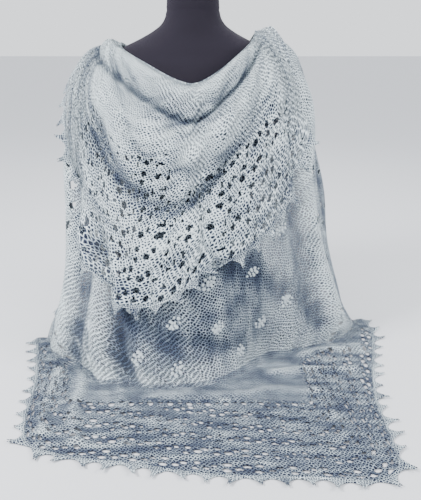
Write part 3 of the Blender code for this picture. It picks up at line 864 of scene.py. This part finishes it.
# The turned-down flap: the same knitting, folded over at the neckline, hanging in cowl swags over the under
# layer, with slanting rows of eyelets towards its own pointed edge.
FLAP_LINES = (
    # angle at the fold, angle at the lower edge, section at the lower edge
    (-140, -138, 3.0),
    (-122, -115, 2.8),
    (-108, -98, 2.7),
    (-100, -87, 2.8),
    (-90, -74, 3.6),
    (-78, -64, 5.0),
    (-68, -60, 6.0),
    (-58, -53, 6.5),
    (-49, -43, 7.1),
    (-38, -33, 7.45),
    (-24, -20, 7.45),
    (-13, -11, 7.25),
    (-2, 0, 6.9),
    (7, 8, 6.5),
    (18, 20, 6.4),
    (28, 30, 6.25),
    (38, 41, 6.0),
    (47, 50, 5.65),
    (54, 58, 5.3),
    (62, 64, 4.6),
    (68, 67, 3.5),
    (74, 70, 2.3),
    (82, 77, 1.5),
    (87, 83, 1.0),
    (90, 88, 0.7),
)
FLAP_PLEATS = (
    (0.9, 3.8, -88, -52, 7, -0.010),
    (0.6, 3.4, -76, -42, 6, 0.008),
    (0.8, 4.2, 60, 54, 6, 0.008),
    (3.6, 7.4, -52, -46, 4, -0.006),
    (0.8, 3.6, -66, -30, 2.6, -0.0035),
    (1.0, 3.9, -58, -22, 2.2, 0.0030),
    (1.0, 3.2, -80, -60, 2.4, 0.0035),
    (1.6, 4.4, 44, 36, 2.4, -0.0030),
    (2.6, 5.6, 12, 26, 3.0, -0.0030),
    (4.4, 6.8, -6, 2, 3.0, 0.0030),
)
FLAP_SWAGS = (
    (-80, 0.55, -6, 0.95, 60, 0.40, 0.42, 0.012),
    (-84, 1.15, -4, 1.95, 64, 0.80, 0.17, -0.016),
    (-70, 2.30, -6, 3.10, 50, 1.70, 0.60, 0.013),
    (-60, 3.60, -18, 5.20, 30, 3.60, 0.28, -0.016),
    (-54, 4.80, -22, 6.10, 30, 4.90, 0.60, 0.009),
    (-50, 2.00, 4, 2.55, 52, 1.40, 0.22, -0.004),
    (-46, 3.10, 0, 3.90, 44, 2.60, 0.22, -0.004),
)
FLAP_LIFT_AT_FOLD = 0.0050
FLAP_LIFT = 0.021
FLAP_LEAST_LIFT = 0.0055
FLAP_EDGE_LIFT = 0.005
FLAP_GRID_COLUMNS = 300
FLAP_GRID_ROWS = 118
FOLD_ROWS = 8
POINTED_TO = 19
FLAP_STITCH_WIDTH = 0.0056
FLAP_STITCH_HEIGHT = 0.0047
FLAP_STITCH_TURN = -24
FLAP_LATTICE_ACROSS = 0.030
FLAP_LATTICE_DOWN = 0.034
FLAP_FIRST_EYELETS = 0.014
FLAP_EYELET_RADIUS = 0.0066
FLAP_EYELETS_KEPT = 0.92
EYELETS_ALONG = (0.12, 0.93)
DEEP_EYELETS_TO = 0.55
DEEP_EYELETS = 0.27
SHALLOW_EYELETS = 0.16
FULL_FLAP_FOLD = 0.013
FLAP_FOLD_SHADE = 0.32


def flap_line(k, at):
    return smooth(range(len(FLAP_LINES)), [line[k] for line in FLAP_LINES], at)


def flap(at, share):
    """Points of the flap, from the fold (share 0) to the lower edge (share 1)."""
    fold_angle, edge_angle, edge_row = (flap_line(k, at) for k in (0, 1, 2))
    angle = fold_angle + (edge_angle - fold_angle) * share
    row = np.maximum(edge_row, 0.0) * share
    full = ease(row / 0.6)
    lift = FLAP_LIFT_AT_FOLD + (FLAP_LIFT - FLAP_LIFT_AT_FOLD) * full
    relief = pleats_at(FLAP_PLEATS, angle, row) + swags_at(FLAP_SWAGS, angle, row)
    lift = np.maximum(lift + relief * full, np.minimum(lift, FLAP_LEAST_LIFT))
    lift += FLAP_EDGE_LIFT * ease((share - 0.75) / 0.25)
    return drape(angle, row) + outwards(angle, row) * lift[:, None]


flap_lengths, flap_params = edge_chart(lambda at: flap(at, np.ones_like(at)), len(FLAP_LINES) - 1, 500)
flap_length = flap_lengths[-1]
falls = np.linspace(0, 1, 30)
line_samples = np.linspace(0, len(FLAP_LINES) - 1, 60)
line_lengths = []
for at in line_samples:
    along = flap(np.full_like(falls, at), falls)
    line_lengths.append(np.linalg.norm(np.diff(along, axis=0), axis=1).sum())


def flap_at(u):
    return np.interp(u * flap_length, flap_lengths, flap_params)


def flap_width(u):
    return np.interp(flap_at(u), line_samples, line_lengths)


flap_mesh, flap_u, flap_v = unit_grid("turned_flap", FLAP_GRID_COLUMNS, FLAP_GRID_ROWS)
random = np.random.default_rng(23)
flap_eyelets = [
    eyelet
    for eyelet in pairs_of_eyelets(
        flap_length,
        flap_width,
        FLAP_LATTICE_ACROSS,
        FLAP_LATTICE_DOWN,
        FLAP_FIRST_EYELETS,
        FLAP_EYELET_RADIUS,
        random,
        FLAP_EYELETS_KEPT,
    )
    if flap_length * EYELETS_ALONG[0] < eyelet[0] < flap_length * EYELETS_ALONG[1]
    and eyelet[1] < (DEEP_EYELETS if eyelet[0] < flap_length * DEEP_EYELETS_TO else SHALLOW_EYELETS)
]
folded = FOLD_ROWS / FLAP_GRID_ROWS
flap_v = 1 - flap_v
flap_share_v = np.clip((flap_v - folded) / (1 - folded), 0, 1)
round_fold = np.clip(flap_v / folded, 0, 1)
flap_u, from_edge, flap_inside, flap_near = opened(
    flap_u, 1 - flap_share_v, flap_length, flap_width, flap_eyelets
)
flap_share_v = 1 - from_edge
flap_param = flap_at(flap_u)
flap_points = flap(flap_param, flap_share_v)
in_fold = flap_v < folded
fold_angle = flap_line(0, flap_param)
fold_base = drape(fold_angle, np.zeros_like(fold_angle))
fold_out = flap(flap_param, np.zeros_like(flap_param)) - fold_base
fold_up = np.zeros_like(fold_out)
fold_up[:, 2] = np.linalg.norm(fold_out, axis=1) / 2
turn = (1 - np.cos(math.pi * round_fold))[:, None] / 2
rolled = fold_base + fold_out * turn + fold_up * np.sin(math.pi * round_fold)[:, None]
flap_points = np.where(in_fold[:, None], rolled, flap_points)
moved(flap_mesh, flap_points)
flap_mesh.flip_normals()
flap_grid = flap_points.reshape(FLAP_GRID_ROWS + 1, FLAP_GRID_COLUMNS + 1, 3)
flap_steps = np.linalg.norm(np.diff(flap_grid, axis=1), axis=2).mean(axis=0)
flap_s = np.interp(
    flap_u, np.linspace(0, 1, FLAP_GRID_COLUMNS + 1), np.concatenate([[0], np.cumsum(flap_steps)])
)
flap_t = from_edge * flap_width(flap_u)
flap_angle = fold_angle + (flap_line(1, flap_param) - fold_angle) * flap_share_v
flap_row = flap_line(2, flap_param) * flap_share_v
# Painted shade and light: the flap's colour is darker in the troughs of its swags and pleats and paler on
# their crests.
flap_relief = pleats_at(FLAP_PLEATS, flap_angle, flap_row) + swags_at(FLAP_SWAGS, flap_angle, flap_row)
flap_knit = knit_material(
    "flap_lace", FLAP_STITCH_WIDTH, FLAP_STITCH_HEIGHT, FLAP_STITCH_TURN, OPENNESS, 0.09
)
turned_flap = finish_knitting(
    "turned_flap",
    flap_mesh,
    lambda corners: np.stack([flap_s[corners], flap_t[corners]], axis=1),
    np.maximum(flap_near, in_fold * 0.7),
    flap_inside,
    flap_knit,
    np.clip(flap_relief / FULL_FLAP_FOLD, -1, 1) * FLAP_FOLD_SHADE,
)
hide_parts("flap")

# The edging: a narrow strip knitted by itself in long forked points, of finer and closer stitches, and sewn
# on all round.
POINT_PITCH = 0.042
POINT_LENGTH = 0.029
VALLEY_LENGTH = 0.005
PRONG_OFF_MIDDLE = 0.052
PRONG_HALF_WIDTH = 0.036
BETWEEN_PRONGS = 0.74
POINT_COLUMNS = 46
POINT_ROWS = 7
POINT_STITCH_WIDTH = 0.0044
POINT_STITCH_HEIGHT = 0.0040
POINT_OPENNESS = 0.30
POINT_CURL = 0.004
SIDE_POINT_CURL = 0.002
SIDE_POINTS_TO = 9.25


def points_strip(name, edge, inside, finish, random, curl):
    """The edging along a sewn edge, on from the cloth's last line of places and away from the one before."""
    lengths = np.concatenate([[0], np.cumsum(np.linalg.norm(np.diff(edge, axis=0), axis=1))])
    count = max(1, round(lengths[-1] / POINT_PITCH))
    along = np.gradient(edge, axis=0)
    out = edge - inside
    out -= along * ((out * along).sum(axis=1) / (along**2).sum(axis=1))[:, None]
    out /= np.linalg.norm(out, axis=1)[:, None]
    along /= np.linalg.norm(along, axis=1)[:, None]
    mesh, u, v = unit_grid(name, count * POINT_COLUMNS, POINT_ROWS)
    at = u * lengths[-1]
    phase = u * count
    number = np.minimum(phase.astype(int), count - 1)
    off = phase - number - 0.5
    long = (0.72 + 0.42 * random.random(count))[number]
    lean = (0.9 * (random.random(count) - 0.5))[number]
    lifted = (curl * random.random(count))[number]
    taper = np.clip(1 - 2 * np.abs(off), 0, 1) ** 2.0
    prong = bell(np.abs(off), PRONG_OFF_MIDDLE, PRONG_HALF_WIDTH)
    tip = np.maximum(BETWEEN_PRONGS * taper, prong)
    reach = VALLEY_LENGTH + (POINT_LENGTH * long - VALLEY_LENGTH) * tip
    far = reach * v
    smoothed = [np.interp(at, lengths, source[:, k]) for source in (edge, out, along) for k in range(3)]
    place, direction, side = (np.stack(smoothed[k : k + 3], axis=1) for k in (0, 3, 6))
    slide = lean * far * tip
    narrow = -off * 0.35 * far * tip
    upward = np.cross(side, direction)
    upward *= np.sign(upward[:, 2:3] + 1e-9)
    wave = 0.0012 * np.sin(at * 150.0) * v
    points = place + direction * far[:, None] + side * (slide + narrow)[:, None]
    points += upward * (lifted * (far / POINT_LENGTH) ** 2 + wave)[:, None]
    points[:, 2] = np.maximum(points[:, 2], LYING_HEIGHT)
    moved(mesh, points)
    strip = finish_knitting(
        name,
        mesh,
        lambda corners: np.stack([at[corners], far[corners]], axis=1),
        np.clip(0.35 + v * 0.6, 0, 1),
        np.zeros(len(u), int),
        finish,
    )
    return strip


point_knit = knit_material(
    "edging_lace", POINT_STITCH_WIDTH, POINT_STITCH_HEIGHT, 0, POINT_OPENNESS, -0.06
)
table_samples = np.linspace(0, 1, 700)
table_param = border_at(table_samples)


def border_line(back):
    place = on_table(table_param, np.full_like(table_param, back))
    return np.column_stack([place, LYING_HEIGHT + BORDER_LIFT + table_lift(place[:, 0], place[:, 1])])


random = np.random.default_rng(5)
table_points = points_strip(
    "table_points", border_line(0.0), border_line(0.02), point_knit, random, POINT_CURL
)
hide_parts("table_edging")

flap_samples = np.linspace(0, 1, 600)
flap_edge_param = flap_at(flap_samples)
flap_edge_param = flap_edge_param[flap_edge_param <= POINTED_TO + 0.5]
flap_points_strip = points_strip(
    "flap_points",
    flap(flap_edge_param, np.ones_like(flap_edge_param)),
    flap(flap_edge_param, np.full_like(flap_edge_param, 0.97)),
    point_knit,
    random,
    POINT_CURL,
)
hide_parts("flap_edging")

for side, strip_name, node in ((-1, "left_points", "left_edging"), (1, "right_points", "right_edging")):
    rows = np.linspace(0, SIDE_POINTS_TO, 300)
    edge_share = np.full_like(rows, 0.0 if side < 0 else 1.0)
    inner_share = np.full_like(rows, 0.03 if side < 0 else 0.97)
    strip = points_strip(
        strip_name,
        drape(angle_at(edge_share, rows), rows),
        drape(angle_at(inner_share, rows), rows),
        point_knit,
        random,
        SIDE_POINT_CURL,
    )
    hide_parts(node)

# The bobble flowers: small knots of yarn in close clusters, in staggered rows down the front of the net.
# Each knot is a flattened ball of the same mohair, paler than the net round it.
FLOWERS = (
    # angle and section of the middle, how far the ring is turned
    (-29, 7.6, 0.5),
    (-9, 7.92, 0.9),
    (13, 8.15, 0.7),
    (43, 8.4, 0.6),
    (-23, 8.83, 1.0),
    (-6, 9.15, 0.6),
    (26, 9.1, 0.8),
    (9, 7.0, 0.8),
    (39, 7.0, 0.5),
    (-48, 8.2, 0.4),
    (58, 7.9, 0.9),
    (26, 6.2, 0.6),
    (54, 6.1, 0.7),
    (-44, 9.3, 0.5),
)
INNER_KNOTS = 4
OUTER_KNOTS = 8
INNER_REACH = 0.42
KNOT_RADIUS = 0.0034
KNOT_FLATNESS = 0.60
RING_LONG = 0.0135
RING_SHORT = 0.0092
KNOT_STAND = 0.0010
KNOT_COLOUR = (0.80, 0.87, 0.87, 1.0)
KNOT_SHADED = (0.24, 0.31, 0.38, 1.0)

knot_yarn = plain_material("knot_yarn", KNOT_COLOUR, 0.9)
tree = knot_yarn.node_tree
shader = tree.nodes["Principled BSDF"]
shader.inputs["Sheen Weight"].default_value = 0.35
shader.inputs["Sheen Roughness"].default_value = 0.45
where = add_node(tree, "ShaderNodeTexCoord").outputs["Object"]
fuzz = cloudiness(tree, where, 700.0)
feed(tree, shader.inputs["Base Color"], blended(tree, fuzz, KNOT_SHADED, KNOT_COLOUR))
feed(tree, shader.inputs["Normal"], raised(tree, fuzz, 0.0012))

knots = bmesh.new()
random = np.random.default_rng(8)
for flower_angle, flower_row, flower_turn in FLOWERS:
    spot_angle = np.array([float(flower_angle)])
    spot_row = np.array([flower_row])
    middle = Vector(drape(spot_angle, spot_row)[0])
    normal = Vector(outwards(spot_angle, spot_row)[0])
    level = Vector((0, 0, 1)).cross(normal).normalized()
    steep = normal.cross(level)
    for k in range(INNER_KNOTS + OUTER_KNOTS):
        count, reach = (INNER_KNOTS, INNER_REACH) if k < INNER_KNOTS else (OUTER_KNOTS, 1.0)
        turn_at = k * math.tau / count
        off = Vector((RING_LONG * math.cos(turn_at), RING_SHORT * math.sin(turn_at))) * reach
        off.rotate(Matrix.Rotation(flower_turn, 2))
        off *= 0.75 + 0.45 * random.random()
        size = KNOT_RADIUS * (0.7 + 0.55 * random.random())
        place = middle + level * off.x + steep * off.y + normal * KNOT_STAND
        stand = Matrix((level, steep, normal)).transposed().to_4x4()
        flat = Matrix.Diagonal((size, size, size * KNOT_FLATNESS, 1))
        bmesh.ops.create_icosphere(
            knots, subdivisions=2, radius=1.0, matrix=Matrix.Translation(place) @ stand @ flat
        )
knot_mesh = bpy.data.meshes.new("bobble_flowers")
knots.to_mesh(knot_mesh)
knots.free()
bobble_flowers = shown("bobble_flowers", knot_mesh, knot_yarn)
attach(bobble_flowers, "root")
